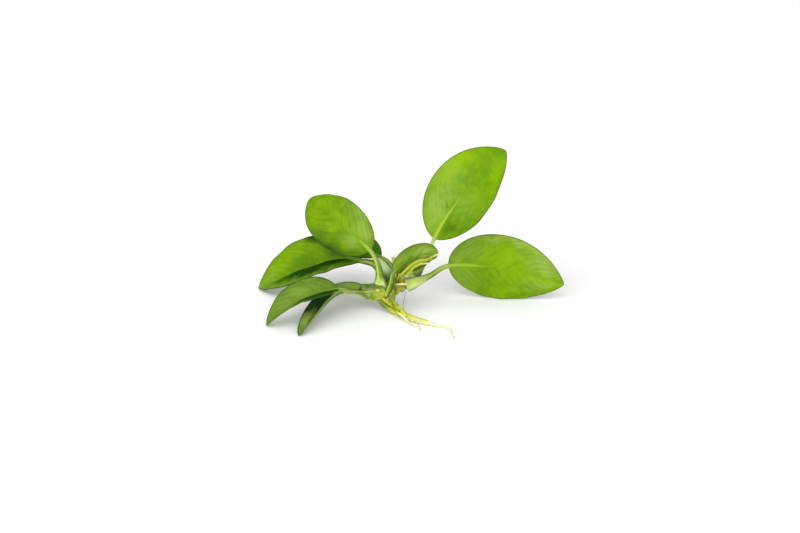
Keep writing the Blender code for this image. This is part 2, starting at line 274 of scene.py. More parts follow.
def living_surface(name, build, see_through=0.2, coat=0.15, gloss=0.4):
    """Wet plant tissue: a coated Principled shader mixed with light that comes through from behind.
    build(tree) gives the colour, the roughness and the normal."""
    finish = bpy.data.materials.new(name)
    finish.use_nodes = True
    tree = finish.node_tree
    shader = tree.nodes["Principled BSDF"]
    output = tree.nodes["Material Output"]
    colour, roughness, normal = build(tree)
    tree.links.new(colour, shader.inputs["Base Color"])
    tree.links.new(roughness, shader.inputs["Roughness"])
    tree.links.new(normal, shader.inputs["Normal"])
    shader.inputs["Specular IOR Level"].default_value = gloss
    shader.inputs["Coat Weight"].default_value = coat
    shader.inputs["Coat Roughness"].default_value = COAT_ROUGHNESS
    through = add(tree, "ShaderNodeBsdfTranslucent", {"Color": colour, "Normal": normal})
    both = add(tree, "ShaderNodeMixShader", {0: see_through, 1: shader.outputs[0], 2: through.outputs[0]})
    tree.links.new(both.outputs[0], output.inputs["Surface"])
    return finish


def rhizome_look(tree):
    """Olive skin mottled with green, yellower where it is young and brown in the rings, and a pale mottled
    face at the cut, which turns golden to one side, green at the top, and has a dark green rim."""
    face = held(tree, "face")
    patches = ramp(tree, cloud(tree, 4.0, 3.0), 0.4, 0.62)
    skin = tint(tree, patches, RHIZOME_GREEN, RHIZOME_OLIVE)
    young = times(tree, held(tree, "young"), ramp(tree, patches, 0.0, 1.0, 0.5, 0.9))
    skin = tint(tree, young, skin, YOUNG_OLIVE)
    skin = tint(tree, times(tree, held(tree, "ring"), RING_DARKNESS), skin, RING_BROWN)
    flesh = blotches(tree, CUT_GREEN, CUT_PALE, size=2.6, low=0.4, high=0.65, detail=2.0)
    flesh = tint(tree, held(tree, "gold"), flesh, CUT_GOLD)
    flesh = blotches(tree, flesh, CUT_GREEN, size=1.6, low=0.58, high=0.72, most=0.6, detail=2.0)
    flesh = tint(tree, times(tree, held(tree, "high"), 0.8), flesh, RHIZOME_GREEN)
    colour = tint(tree, ramp(tree, face, 0.75, 1.0), skin, flesh)
    rim = times(tree, ramp(tree, face, 0.1, 0.6), ramp(tree, face, 0.75, 1.0, 0.85, 0.0))
    colour = tint(tree, rim, colour, CUT_RIM)
    roughness = uneven_roughness(tree, 1.0, 0.3, 0.55, detail=3.0)
    return colour, roughness, grain(tree, cloud(tree, 0.8, 3.0), 0.04)


def rhizome_grid():
    """A rod whose radius bulges between rings and in soft lumps, then flattened past the cut: each point
    moves back along the cut's facing by its excess e, softened to e = r x ln(1 + exp(excess / r))."""
    whole = smooth_line(RHIZOME_LINE)
    want = np.linspace(0, arc_lengths(whole)[-1], RHIZOME_ROWS)
    line = at_lengths(whole, whole, want)
    radii = at_lengths(whole, span_values(RHIZOME_RADII), want)
    ring = (0.5 - 0.5 * np.cos(2 * np.pi * want / RING_SPACE)) ** RING_SHARPNESS
    grid = rod_grid(line, radii - RING_DEPTH * ring[:, None], RHIZOME_SIDES, (0, 0, 1))
    outward = unit(grid - line[:, None])
    grid = grid + outward * (LUMP_DEPTH * wander(grid, LUMP_SIZE, 3))[..., None]
    facing = unit(np.array(CUT_FACING))
    excess = (grid - CUT_POINT) @ facing
    back = CUT_ROUNDING * np.log1p(np.exp(np.clip(excess / CUT_ROUNDING, -30, 30)))
    back += CUT_LUMP_DEPTH * wander(grid, CUT_LUMP_SIZE, 8) * smooth_step(excess, -0.5, 1.5)
    grid = grid - back[..., None] * facing
    rightward = grid[..., 0] - CUT_POINT[0]
    upward = grid[..., 2] - CUT_POINT[2]
    named = {
        "ring": ring[:, None] * (0.75 + 0.25 * wander(grid, 3.0, 5)),
        "face": smooth_step(excess, -1.3, 0.8),
        "gold": smooth_step(rightward + 1.2 * wander(grid, 4.0, 9), -3.5, 2.5),
        "young": smooth_step(want, *YOUNG_REACH)[:, None],
        "high": smooth_step(upward + 0.6 * wander(grid, 3.0, 10), 0.8, 3.6),
    }
    return grid, named


rhizome_finish = living_surface("rhizome_skin", rhizome_look, see_through=0.08, gloss=0.4)
make_piece("rhizome_body", [rhizome_grid()], rhizome_finish, ["rhizome"])


# The leaf blades: thick, leathery and glossy, joined to their stalks along a pale midrib. Side veins
# curve from it towards the tip, and the margin is a thin dark rim. Each is a closed sheet on the midrib.
LEAVES = {
    "leaf_1": {
        "stalk": [(-19.0, -4.7, 9.4), (-26.0, -8.4, 10.9), (-31.5, -13.8, 13.2)],
        "radii": [1.5, 1.1, 1.1, 0.9],
        "blade": [(-35.8, -19.5, 16.8), (-53.6, -21.0, 11.8), (-71.1, -26.9, 0.5)],
        "width": 21.8,
        "facing": (-0.44, -0.26, 0.86),
        "fold": 31.5,
        "tip_fold": 1.0,
        "curl": -7.9,
        "twist": -23.0,
        "swell": 0.69,
        "narrow": 0.74,
    },
    "leaf_2": {
        "stalk": [(-17.5, -0.5, 9.0)],
        "radii": [1.4, 0.9],
        "blade": [(-21.9, -1.0, 9.0), (-35.8, -4.5, 9.2), (-54.2, -40.1, 0.6)],
        "width": 15.1,
        "facing": (-0.52, -0.1, 0.85),
        "fold": 31.8,
        "tip_fold": 1.0,
        "curl": -6.5,
        "twist": -8.2,
        "swell": 0.47,
        "narrow": 0.6,
    },
    "leaf_3": {
        "stalk": [(-15.3, -5.3, 11.8), (-15.8, -5.9, 20.1), (-17.3, -5.5, 26.5)],
        "radii": [3.5, 1.9, 1.3, 1.1],
        "blade": [(-20.3, -4.5, 31.5), (-37.6, -1.5, 45.8), (-50.9, 13.5, 52.8)],
        "width": 25.9,
        "facing": (0.12, -0.93, 0.35),
        "fold": 4.8,
        "tip_fold": 0.6,
        "curl": -7.4,
        "twist": 0.0,
        "swell": 0.57,
        "narrow": 0.63,
    },
    "leaf_4": {
        "stalk": [(-12.5, -1.5, 11.5), (-17.5, 3.5, 20.8)],
        "radii": [2.2, 1.9, 1.4],
        "blade": [(-24.8, 7.5, 21.8), (-38.3, 13.0, 20.8), (-78.7, 26.1, 0.4)],
        "width": 30.6,
        "facing": (-0.26, -0.53, 0.81),
        "fold": 35.9,
        "tip_fold": 1.0,
        "curl": -15.1,
        "twist": -9.4,
        "swell": 0.79,
        "narrow": 0.79,
    },
    "leaf_5": {
        "stalk": [(-7.0, 1.5, 13.5), (-10.0, 6.5, 20.0)],
        "radii": [1.6, 1.2, 1.1],
        "blade": [(-15.0, 9.5, 23.0), (-28.9, 24.5, 23.8), (-41.0, 40.4, 22.4)],
        "width": 20.0,
        "facing": (0.1, -0.5, 0.86),
        "fold": 10.0,
        "tip_fold": 0.6,
        "curl": -10.0,
        "twist": 0.0,
        "swell": 0.8,
        "narrow": 0.7,
    },
    "leaf_6": {
        "stalk": [(-1.6, -3.2, 13.2), (2.0, -4.2, 14.7), (9.5, 3.5, 15.3)],
        "radii": [3.2, 2.7, 1.5, 1.2],
        "blade": [(19.1, 11.5, 17.7), (47.8, 10.0, 16.8), (77.7, 8.5, 8.8)],
        "width": 33.6,
        "facing": (0.14, -0.99, 0.05),
        "fold": -0.5,
        "tip_fold": 1.0,
        "curl": -10.6,
        "twist": 0.0,
        "swell": 0.56,
        "narrow": 0.79,
    },
    "leaf_7": {
        "stalk": [(0.3, 3.4, 13.0), (3.4, 5.6, 17.4), (9.0, 6.0, 26.0)],
        "radii": [2.3, 2.7, 1.1, 0.95],
        "blade": [(11.7, 7.5, 33.7), (26.7, 11.0, 57.0), (46.8, 8.5, 79.7)],
        "width": 35.7,
        "facing": (-0.43, -0.82, 0.38),
        "fold": 1.5,
        "tip_fold": 0.6,
        "curl": 21.0,
        "twist": 0.0,
        "swell": 0.63,
        "narrow": 0.74,
    },
    "leaf_8": {
        "stalk": [(-13.0, -5.5, 8.0), (-11.0, -9.5, 12.5), (-9.7, -10.2, 17.0)],
        "radii": [1.3, 1.2, 1.1, 1.0],
        "blade": [(-8.5, -9.5, 22.1), (7.0, -7.5, 31.2), (13.6, -6.5, 30.6)],
        "width": 12.0,
        "facing": (-0.43, -0.87, 0.25),
        "fold": 10.6,
        "tip_fold": 0.6,
        "curl": -10.0,
        "twist": 0.0,
        "swell": 0.6,
        "narrow": 0.6,
    },
}
BLADE_ROWS = 170
BLADE_COLUMNS = 220
BLADE_THICKNESS = 0.6
RIM_RADIUS = 0.35
END_HALF_WIDTH = 0.2
OPEN_HALF_WIDTH = 2.5
CREASE = 0.05
VEIN_SPACE = 5.0
VEIN_SLANT = 0.25
VEIN_ARCH = 0.2
VEIN_STRAY = 0.007
VEIN_SHIFT = 0.33
VEIN_DENT = 0.05
VEIN_HALF_WIDTH = 0.35
SWELL_HEIGHT = 0.035
BROAD_WAVE = (0.3, 22.0)
SMALL_WAVE = (0.12, 8.0)
MARGIN_WAVE = (0.25, 13.0)
WAVY_WIDTH = 24.0
BRIGHTER = 1.4
DARKER = 0.3
BLADE_SEED = 20
# Each blade's lighter and darker green.
GREENS = {
    "leaf_1": ((0.12, 0.22, 0.018), (0.08, 0.17, 0.008)),
    "leaf_2": ((0.19, 0.3, 0.055), (0.13, 0.23, 0.035)),
    "leaf_3": ((0.13, 0.26, 0.002), (0.09, 0.2, 0.001)),
    "leaf_4": ((0.135, 0.28, 0.002), (0.09, 0.22, 0.001)),
    "leaf_5": ((0.08, 0.21, 0.004), (0.05, 0.16, 0.002)),
    "leaf_6": ((0.165, 0.315, 0.003), (0.11, 0.245, 0.001)),
    "leaf_7": ((0.155, 0.3, 0.002), (0.11, 0.25, 0.001)),
    "leaf_8": ((0.12, 0.23, 0.006), (0.08, 0.165, 0.002)),
}
VEIN_DARKNESS = {
    "leaf_1": 0.35,
    "leaf_2": 0.3,
    "leaf_3": 0.4,
    "leaf_4": 0.36,
    "leaf_5": 0.3,
    "leaf_6": 0.33,
    "leaf_7": 0.1,
    "leaf_8": 0.4,
}
# How far along each blade its midrib shows, as a share of the length, how strongly, and its width.
MIDRIBS = {
    "leaf_1": (0.2, 0.3, 1.0),
    "leaf_2": (0.2, 0.15, 1.0),
    "leaf_3": (0.28, 0.8, 1.3),
    "leaf_4": (0.95, 0.3, 0.8),
    "leaf_5": (0.5, 0.3, 1.0),
    "leaf_6": (0.42, 0.9, 1.5),
    "leaf_7": (0.52, 1.0, 1.4),
    "leaf_8": (0.45, 0.25, 1.0),
}
# How dark each blade's rim is, and its width.
MARGINS = {
    "leaf_1": (1.0, 0.95),
    "leaf_2": (1.0, 0.95),
    "leaf_3": (0.8, 0.7),
    "leaf_4": (0.95, 0.8),
    "leaf_5": (0.8, 0.7),
    "leaf_6": (0.8, 0.7),
    "leaf_7": (0.7, 0.7),
    "leaf_8": (0.9, 0.7),
}
# The colours of painted sheen, painted shade and painted light that the patches turn a blade to.
PAINTED_SHEEN_PALE = (0.28, 0.4, 0.065)
PAINTED_SHADE_DARK = (0.008, 0.055, 0.001)
PAINTED_LIGHT_YELLOW = (0.24, 0.41, 0.001)
ALONG_STRAY = (0.035, 12.0)
ACROSS_STRAY = (0.1, 9.0)
# Painted light and shade on each blade, in place of the lamp's: painted sheen, greyish and paler, for its
# reflection; painted shade on the near halves and where one blade shadows another, with a few real dark
# marks such as a spot on leaf_7 and a line along leaf_2's midrib; and painted light, yellower. Each has its
# middle along the blade, 0 to 1, and across it, -1 to 1, then its length and breadth in the same measures
# and how strong it is.
PATCHES = {
    "leaf_1": {
        "painted_sheen": [(0.88, -0.4, 0.2, 0.6, 1.3), (0.45, 0.4, 0.4, 0.4, 0.3)],
        "shade": [(0.2, -0.6, 0.22, 0.8, 1.3), (0.46, -0.4, 0.14, 0.6, 0.6), (0.08, 0.7, 0.1, 0.4, 0.4)],
    },
    "leaf_2": {
        "painted_sheen": [
            (0.2, -0.4, 0.3, 0.7, 0.9),
            (0.6, -0.45, 0.35, 0.8, 1.4),
            (0.74, 0.5, 0.1, 0.5, 1.3),
            (0.08, 0.5, 0.14, 0.6, 0.6),
        ],
        "shade": [
            (0.36, 0.5, 0.09, 0.9, 1.6),
            (0.53, 0.4, 0.1, 0.9, 1.6),
            (0.75, 0.06, 0.2, 0.1, 0.8),
            (0.75, -0.03, 0.2, 0.07, 0.6),
            (0.95, 0.7, 0.1, 0.3, 0.3),
            (0.64, 0.9, 0.07, 0.2, 0.8),
        ],
    },
    "leaf_3": {
        "painted_sheen": [(0.2, 0.5, 0.16, 0.4, 0.8), (0.4, 0.9, 0.2, 0.25, 0.35), (0.22, -0.27, 0.12, 0.22, 0.6)],
        "shade": [(0.36, -1.0, 0.25, 0.3, 0.9), (0.08, -0.6, 0.08, 0.4, 0.3)],
        "painted_light": [
            (0.25, 0.3, 0.2, 0.3, 0.3),
            (0.8, -0.4, 0.2, 0.4, 0.5),
            (0.85, 0.3, 0.15, 0.35, 0.5),
            (0.5, -0.15, 0.1, 0.25, 0.6),
            (0.5, 0.15, 0.1, 0.25, 0.6),
        ],
    },
    "leaf_4": {
        "painted_sheen": [(0.95, -0.3, 0.1, 0.6, 0.7), (0.5, -0.95, 0.35, 0.2, 0.2), (0.9, 0.4, 0.1, 0.4, 0.3)],
        "shade": [
            (0.18, -0.35, 0.14, 0.45, 0.7),
            (0.42, -0.3, 0.2, 0.45, 1.6),
            (0.64, -0.3, 0.1, 0.4, 0.7),
            (0.12, 0.4, 0.12, 0.35, 1.0),
            (0.22, 0.65, 0.08, 0.25, 1.0),
            (0.34, 0.95, 0.1, 0.25, 1.1),
            (0.56, 0.25, 0.16, 0.3, 0.3),
        ],
        "painted_light": [(0.5, 0.6, 0.25, 0.4, 0.5), (0.8, 0.4, 0.15, 0.4, 0.5)],
    },
    "leaf_5": {"shade": [(0.1, 0.4, 0.3, 0.8, 0.3), (0.1, -0.4, 0.3, 0.8, 0.3)]},
    "leaf_6": {
        "painted_sheen": [
            (0.5, -0.93, 0.35, 0.12, 0.9),
            (0.78, -0.5, 0.14, 0.35, 0.9),
            (0.14, -0.5, 0.13, 0.4, 0.5),
            (0.12, 0.5, 0.16, 0.5, 0.4),
            (0.82, 0.4, 0.14, 0.3, 0.5),
        ],
        "shade": [(0.32, 0.5, 0.2, 0.4, 0.12)],
        "painted_light": [(0.7, 0.15, 0.22, 0.25, 0.5), (0.42, -0.3, 0.2, 0.4, 0.6), (0.93, 0.3, 0.1, 0.5, 0.5)],
    },
    "leaf_7": {
        "painted_sheen": [(0.35, -0.5, 0.22, 0.5, 0.45), (0.15, -0.5, 0.16, 0.4, 0.45), (0.4, 0.3, 0.16, 0.4, 0.25)],
        "shade": [
            (0.14, 0.45, 0.1, 0.4, 0.5),
            (0.3, 0.9, 0.2, 0.15, 0.25),
            (0.3, -0.31, 0.018, 0.06, 0.55),
            (0.9, -0.3, 0.14, 0.35, 0.12),
        ],
        "painted_light": [(0.6, -0.8, 0.2, 0.3, 0.9), (0.8, 0.6, 0.2, 0.3, 0.5)],
    },
    "leaf_8": {
        "painted_sheen": [(0.25, -0.5, 0.2, 0.3, 0.5), (0.75, -0.3, 0.22, 0.4, 0.9), (0.73, 0.35, 0.16, 0.35, 0.8)],
        "shade": [(0.3, 0.4, 0.3, 0.4, 0.5)],
    },
}
MIDRIB_PALE = (0.33, 0.46, 0.03)
RIM_DARK = (0.03, 0.065, 0.006)
UNDERSIDE = (0.18, 0.28, 0.06)


def half_widths(share, leaf):
    """Half the width at a share s of the length: width / 2 x (s / w)^swell x ((1 - s) / (1 - w))^narrow,
    where w = swell / (swell + narrow) is the widest place."""
    swell, narrow = leaf["swell"], leaf["narrow"]
    widest = swell / (swell + narrow)
    share = np.clip(share, 1e-6, 1 - 1e-6)
    shape = (share / widest) ** swell * ((1 - share) / (1 - widest)) ** narrow
    return leaf["width"] / 2 * shape + END_HALF_WIDTH


def blade_line(leaf):
    """The midrib's line from the blade's base to its tip, part of the line that starts with the stalk."""
    return smooth_line(leaf["stalk"] + leaf["blade"])[len(leaf["stalk"]) * LINE_STEPS :]


def vein_places(share, across, flat, leaf_length, seed):
    """How many side veins lie between here and the base: (s - slant x |a| - arch x |a|^3) x length / space,
    strayed a little by noise, and the two halves set apart by a third."""
    away = np.abs(across)
    places = share - VEIN_SLANT * away - VEIN_ARCH * away**3
    places = places + VEIN_STRAY * wander(flat, 15.0, seed)
    return places * leaf_length / VEIN_SPACE + np.where(across > 0, VEIN_SHIFT, 0.0)


def patch_amount(patches, share, across, flat, seed):
    """Soft-edged patches: the sum of amount x exp(-((s - s0) / length)^2 - ((a - a0) / breadth)^2), its
    places strayed by noise, each kept to its own side of the midrib."""
    share = share + ALONG_STRAY[0] * wander(flat, ALONG_STRAY[1], seed)
    strayed = across + ACROSS_STRAY[0] * wander(flat, ACROSS_STRAY[1], seed + 1)
    total = np.zeros(flat.shape[:2])
    for middle, out, long, broad, amount in patches:
        soft = np.exp(-(((share - middle) / long) ** 2) - ((strayed - out) / broad) ** 2)
        total += amount * soft * smooth_step(across * np.sign(out), -0.03, 0.03)
    return np.clip(total, 0.0, 1.0)


def twisted_frame(leaf, whole, share):
    """The midrib's point and the unit vectors across it and up from it at each share of its length. They
    turn round it by the twist from end to end."""
    want = share[:, 0] * arc_lengths(whole)[-1]
    line = at_lengths(whole, whole, want)
    side, up = frames(whole, leaf["facing"])
    side = unit(at_lengths(whole, side, want))
    up = unit(at_lengths(whole, up, want))
    turn = np.radians(leaf["twist"]) * (share - 0.5)
    turned_side = side * np.cos(turn) + up * np.sin(turn)
    turned_up = up * np.cos(turn) - side * np.sin(turn)
    return line[:, None], turned_side[:, None], turned_up[:, None]


def bent_sheet(leaf, whole, share, across, half):
    """The middle of the blade's thickness, and its normal. A half that is h wide rises at the fold angle f
    and bends by c on its way out, so at a share o of it its chord is o x h x sinc(c x o / 2) long and rises
    at f + c x o / 2. Fold and bend open out where the blade is narrow, and the crease between is soft."""
    line, side, up = twisted_frame(leaf, whole, share)
    kept = np.clip(half / OPEN_HALF_WIDTH, 0.0, 1.0)
    fold = np.radians(leaf["fold"]) * (1 - (1 - leaf["tip_fold"]) * share) * kept
    soft = np.sqrt(across**2 + CREASE**2)
    out = soft - CREASE * (1 - np.abs(across))
    bend = np.radians(leaf["curl"]) * out * kept
    chord = np.sinc(bend / 2 / np.pi) * half
    sideways = chord * across * np.cos(fold + bend / 2)
    lifted = chord * out * np.sin(fold + bend / 2)
    normal = up * np.cos(fold + bend)[..., None]
    normal = normal - side * (across / soft * np.sin(fold + bend))[..., None]
    return line + side * sideways[..., None] + up * lifted[..., None], normal


def vein_relief(places, edge, out):
    """The upper side swells between side veins and dents along them, less at the margin and the midrib."""
    apart = np.abs(places - np.round(places)) * VEIN_SPACE
    swell = SWELL_HEIGHT * (1 - np.cos(2 * np.pi * places)) / 2
    dent = VEIN_DENT * np.exp(-((apart / VEIN_HALF_WIDTH) ** 2))
    inside = smooth_step(edge, 0.3, 3.0) * smooth_step(out, 0.4, 1.6)
    return (swell - dent) * inside


def blade_wave(share, across, flat, width, seed):
    """How far the blade strays from its even curve: noise in broad and small waves, and in waves that
    grow towards the margin, all of it less at the ends and on a narrow blade."""
    wave = BROAD_WAVE[0] * wander(flat, BROAD_WAVE[1], seed)
    wave = wave + SMALL_WAVE[0] * wander(flat, SMALL_WAVE[1], seed + 1)
    margin = wander(flat * (1, 0.2), MARGIN_WAVE[1], seed + 2)
    wave = wave + MARGIN_WAVE[0] * np.abs(across) ** 3 * margin
    return wave * np.sin(np.pi * share) ** 0.7 * min(1.0, width / WAVY_WIDTH)


def blade_grid(leaf, seed, patches=None):
    """A closed sheet: at each share of the midrib a loop goes out over the upper side and back under. Each
    point lies off the middle, along the normal, by half the thickness, the relief and the wave."""
    whole = blade_line(leaf)
    length = arc_lengths(whole)[-1]
    even = np.linspace(0, 1, BLADE_ROWS)
    share = (0.5 * even + 0.25 * (1 - np.cos(np.pi * even)))[:, None]
    angle = np.linspace(0, 2 * np.pi, BLADE_COLUMNS, endpoint=False)[None]
    across = 0.5 * np.cos(angle) + np.arcsin(np.cos(angle)) / np.pi
    upper = np.sin(angle)
    half = half_widths(share, leaf)
    middle, normal = bent_sheet(leaf, whole, share, across, half)
    out = np.abs(across) * half
    edge = (1 - np.abs(across)) * half
    flat = np.stack([share * length + 0 * across, across * half], axis=-1)
    places = vein_places(share, across, flat, length, seed + 3)
    rim = np.sqrt(1 - (1 - np.clip(edge / RIM_RADIUS, 0, 1)) ** 2)
    offset = np.sign(upper) * rim * BLADE_THICKNESS / 2
    offset = offset + vein_relief(places, edge, out) * (upper > 0)
    offset = offset + blade_wave(share, across, flat, leaf["width"], seed)
    named = {
        "across": across,
        "along": share,
        "upper": smooth_step(upper, -0.1, 0.1),
        "out": out,
        "edge": edge,
        "vein": places,
    }
    # The painted sheen, painted shade and painted light patches, as amounts at every point.
    for number, tone in enumerate(("painted_sheen", "shade", "painted_light")):
        spots = (patches or {}).get(tone, [])
        named[tone] = patch_amount(spots, share, across, flat, seed + 4 + 2 * number)
    return middle + normal * offset[..., None], named


def lamina_colour(tree, light, deep):
    """Two greens in soft patches, blotched with a brighter and with the deeper one, and yellower painted
    light.
    """
    colour = blotches(tree, deep, light, size=14.0, low=0.36, high=0.64)
    bright = tuple(BRIGHTER * part for part in light)
    colour = blotches(tree, colour, bright, size=3.2, low=0.42, high=0.68, most=0.4)
    colour = blotches(tree, colour, deep, size=1.5, low=0.5, high=0.72, most=0.3)
    return tint(tree, held(tree, "painted_light"), colour, PAINTED_LIGHT_YELLOW)


def fine_veins(tree):
    """How near the closest of the finer veins is: there are four between each two side veins."""
    finer = calc(tree, "PINGPONG", times(tree, held(tree, "vein"), 5.0), 0.5)
    return ramp(tree, finer, 0.0, 0.45, 1.0, 0.0)


def midrib_amount(tree, end, strength, width):
    """How strongly the midrib shows: it narrows along the blade and fades out before its end."""
    along = held(tree, "along")
    narrowing = times(tree, along, 1.4 * width)
    rib = ramp(tree, calc(tree, "ADD", held(tree, "out"), narrowing), 0.4 * width, width, 1.0, 0.0)
    return times(tree, rib, ramp(tree, along, end - 0.25, end, strength, 0.0))


def rim_amount(tree, darkness, width):
    """How strongly the margin's rim shows."""
    return ramp(tree, held(tree, "edge"), 0.3 * width, width, darkness, 0.0)


def underside(tree, vein, dark):
    """The paler and greyer lower side, with its side veins, and the upper side's painted sheen and painted
    shade.
    """
    colour = tint(tree, times(tree, vein, 0.35), UNDERSIDE, dark)
    colour = tint(tree, held(tree, "painted_sheen"), colour, PAINTED_SHEEN_PALE)
    return tint(tree, times(tree, held(tree, "shade"), 0.75), colour, PAINTED_SHADE_DARK)


def blade_look(light, deep, vein_darkness, rim, midrib):
    """Patchy green with painted sheen, painted shade and yellower painted light, darker side veins with finer
    ones between, a pale midrib that fades out and a dark rim; the underside is paler and greyer."""
    dark = tuple(DARKER * part for part in deep)

    def build(tree):
        apart = calc(tree, "PINGPONG", held(tree, "vein"), 0.5)
        vein = ramp(tree, apart, 0.0, 0.11, 1.0, 0.0)
        between = ramp(tree, apart, 0.05, 0.4, 0.8, 1.0)
        strength = ramp(tree, cloud(tree, 10.0, 1.0), 0.32, 0.62, 0.2, 1.0)
        strength = times(tree, strength, vein_darkness)
        colour = lamina_colour(tree, light, deep)
        # Painted sheen, stronger between the veins.
        colour = tint(tree, times(tree, held(tree, "painted_sheen"), between), colour, PAINTED_SHEEN_PALE)
        colour = tint(tree, times(tree, vein, strength), colour, dark)
        colour = tint(tree, times(tree, fine_veins(tree), times(tree, strength, 0.3)), colour, dark)
        # Painted shade.
        colour = tint(tree, held(tree, "shade"), colour, PAINTED_SHADE_DARK)
        colour = tint(tree, midrib_amount(tree, *midrib), colour, MIDRIB_PALE)
        colour = tint(tree, rim_amount(tree, *rim), colour, RIM_DARK)
        colour = tint(tree, held(tree, "upper"), underside(tree, vein, dark), colour)
        roughness = uneven_roughness(tree, 7.0, 0.3, 0.48, detail=3.0)
        return colour, roughness, grain(tree, cloud(tree, 0.7, 3.0), 0.02)

    return build


for number, (leaf_name, leaf) in enumerate(LEAVES.items()):
    light, deep = GREENS[leaf_name]
    look = blade_look(light, deep, VEIN_DARKNESS[leaf_name], MARGINS[leaf_name], MIDRIBS[leaf_name])
    finish = living_surface(leaf_name + "_lamina", look, see_through=0.15, coat=0.02, gloss=0.04)
    grid = blade_grid(leaf, BLADE_SEED + 5 * number, PATCHES[leaf_name])
    make_piece(leaf_name + "_lamina", [grid], finish, [leaf_name + "_blade"])


# The leaf stalks: fleshy and a little flattened, each clasping the rhizome with a pale widened base. Each
# runs on under its blade as the midrib's keel, raised a little above it too, and thins out there.
STALK_ROWS = 150
STALK_SIDES = 40
STALK_FLAT = 0.85
STALK_LUMPS = 0.03
STALK_SEED = 70
CHANNEL_DEPTH = 0.16
CHANNEL_WIDTH = 0.45
FLARE_REACH = (1.0, 9.0)
KEEL_SHARE = 0.62
KEEL_BEND = 0.3
KEEL_BEND_RADIUS = 0.55
KEEL_TIP = 0.2
KEEL_SINK = 0.62
KEEL_DEEPER = (0.1, 0.35)
# How far up each stalk its clasp is pale, by how much it flares there, how pale its upper end is, and over
# what length.
STALKS = {
    "leaf_1": (7.0, 0.2, 0.45, 22.0),
    "leaf_2": (7.0, 0.2, 0.0, 1.0),
    "leaf_3": (8.0, 0.15, 0.1, 12.0),
    "leaf_4": (7.0, 0.2, 0.0, 1.0),
    "leaf_5": (7.0, 0.2, 0.0, 1.0),
    "leaf_6": (17.0, 0.1, 0.35, 12.0),
    "leaf_7": (3.0, 0.2, 0.9, 22.0),
    "leaf_8": (7.0, 0.2, 0.0, 1.0),
}
STALK_GREEN = (0.1, 0.2, 0.008)
STALK_YELLOW = (0.19, 0.31, 0.015)
# The colour of the painted highlight along a stalk's upper face.
STALK_PAINTED_HIGHLIGHT = (0.46, 0.62, 0.04)
STALK_PALE_YELLOW = (0.58, 0.69, 0.18)
# The colour of the painted shade along a stalk's edges.
STALK_PAINTED_SHADE = (0.025, 0.07, 0.004)
CLASP_PALE = (0.62, 0.74, 0.24)
KEEL_GREEN = (0.08, 0.17, 0.006)


def stalk_grid(leaf, clasp, flare, pale, pale_reach, rib, seed):
    """A rod along the stalk and on under the blade. Its radius is read along the stalk, swells by the flare
    where it clasps the rhizome and falls to the keel's tip. The keel sinks by a share of its radius and a
    little more towards its tip, and the stalk's upper face has a shallow channel."""
    whole = smooth_line(leaf["stalk"] + leaf["blade"])
    length = arc_lengths(whole)
    stalk_lengths = length[: len(leaf["stalk"]) * LINE_STEPS + 1]
    base = stalk_lengths[-1]
    end = base + KEEL_SHARE * (length[-1] - base)
    keel = end - base
    want = np.linspace(0.0, end, STALK_ROWS)
    radii = span_values(leaf["radii"])
    known = [*stalk_lengths, base + KEEL_BEND * keel, end]
    radii = np.interp(want, known, [*radii, radii[-1] * KEEL_BEND_RADIUS, KEEL_TIP])
    radii = radii * (1 + flare * (1 - smooth_step(want, *FLARE_REACH)))
    deeper = KEEL_DEEPER[0] + KEEL_DEEPER[1] * smooth_step(want, base + 0.2 * keel, end)
    sink = smooth_step(want, base - 2.0, base + 0.35 * keel) * (radii * KEEL_SINK + deeper)
    _, up = frames(whole, leaf["facing"])
    up = unit(at_lengths(whole, up, want))
    line = at_lengths(whole, whole, want) - up * sink[:, None]
    lumps = 1 + STALK_LUMPS * wander(line, 5.0, seed)
    grid = rod_grid(line, radii * lumps, STALK_SIDES, leaf["facing"], STALK_FLAT)
    angle = np.linspace(0, 2 * np.pi, STALK_SIDES, endpoint=False)[None]
    channel = CHANNEL_DEPTH * np.exp(-(((angle - np.pi / 2) / CHANNEL_WIDTH) ** 2))
    channel = channel * (1 - smooth_step(want, base - 3, base))[:, None]
    grid = grid - up[:, None] * (channel * radii[:, None])[..., None]
    named = {
        "upper": np.sin(angle),
        "beside": np.cos(angle),
        "clasp": (want / clasp)[:, None],
        "keel": smooth_step(want, base - 4.0, base + 1.0)[:, None],
        "rib": rib,
        "pale": pale * smooth_step(want, base - pale_reach, base - 0.3 * pale_reach)[:, None],
    }
    return grid, named


